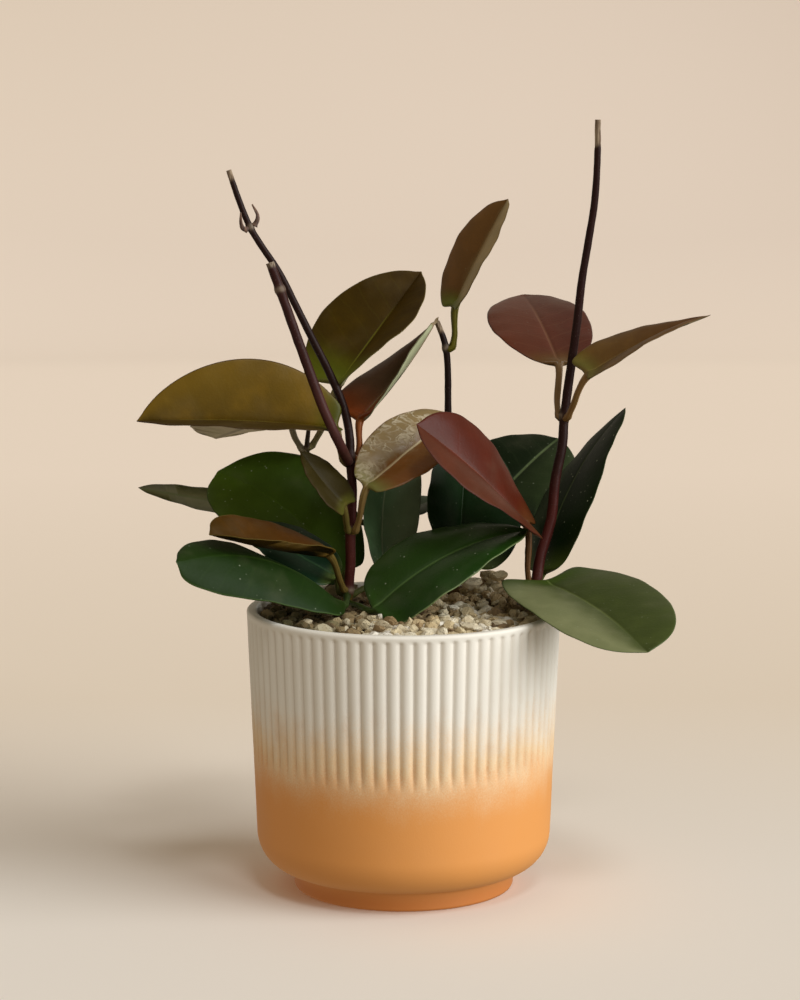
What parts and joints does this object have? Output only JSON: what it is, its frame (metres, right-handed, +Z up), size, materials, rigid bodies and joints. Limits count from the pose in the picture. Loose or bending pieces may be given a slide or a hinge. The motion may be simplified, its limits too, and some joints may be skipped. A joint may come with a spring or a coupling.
{
  "type": "potted hoya plant",
  "caption": "Waxy-leaved hoya with bare upright stems, rooted in pumice gravel in a fluted, footed ceramic pot.",
  "frame": {"origin": "middle of the pot's flat underside, on the surface it rests on", "axes": "+Z up along the pot's axis; -Y towards the front, the side the two low leaves at the left and right are seen from; +X to the right seen from the front"},
  "size_m": [0.2422, 0.1572, 0.317],
  "materials": {
    "pot_ceramic": "matte",
    "pumice": "matte",
    "pumice_pale": "matte",
    "stem_dark": "satin",
    "stem_brown": "satin",
    "stem_dry": "matte",
    "leaf_green": "gloss",
    "leaf_bronze": "gloss",
    "leaf_red": "gloss",
    "leaf_rust": "gloss",
    "leaf_grey_green": "satin"
  },
  "bodies": {
    "root": {"pot": "pot_ceramic", "medium": "pumice", "chip_01": "pumice_pale", "chip_02": "pumice_pale", "chip_03": "pumice_pale", "chip_04": "pumice_pale", "chip_05": "pumice_pale", "chip_06": "pumice_pale", "chip_07": "pumice_pale", "chip_08": "pumice_pale", "chip_09": "pumice_pale", "chip_10": "pumice_pale", "chip_11": "pumice_pale", "chip_12": "pumice_pale", "stem_long_left": "stem_dark", "stem_back_left": "stem_dark", "stem_centre_back": "stem_dark", "stem_right": "stem_dark", "stem_cut_left": "stem_brown", "leaf_right_upright": "leaf_green", "leaf_right_drooping": "leaf_green", "leaf_back_right": "leaf_green", "leaf_back_middle": "leaf_green", "leaf_front": "leaf_green", "leaf_left_broad": "leaf_green", "leaf_left_low": "leaf_green", "leaf_left_behind": "leaf_green", "leaf_back_upright": "leaf_green", "leaf_left_long": "leaf_bronze", "leaf_top_left": "leaf_bronze", "leaf_folded": "leaf_bronze", "leaf_top_middle": "leaf_bronze", "leaf_silvery": "leaf_bronze", "leaf_right_high": "leaf_bronze", "leaf_small_bronze": "leaf_bronze", "leaf_red": "leaf_red", "leaf_red_round": "leaf_red", "leaf_rust": "leaf_rust", "leaf_left_back": "leaf_grey_green", "leaf_far_left": "leaf_grey_green", "leaf_back_small": "leaf_grey_green", "dried_stub_left": "stem_dry", "dried_stub_right": "stem_dry"}
  },
  "joints": []
}
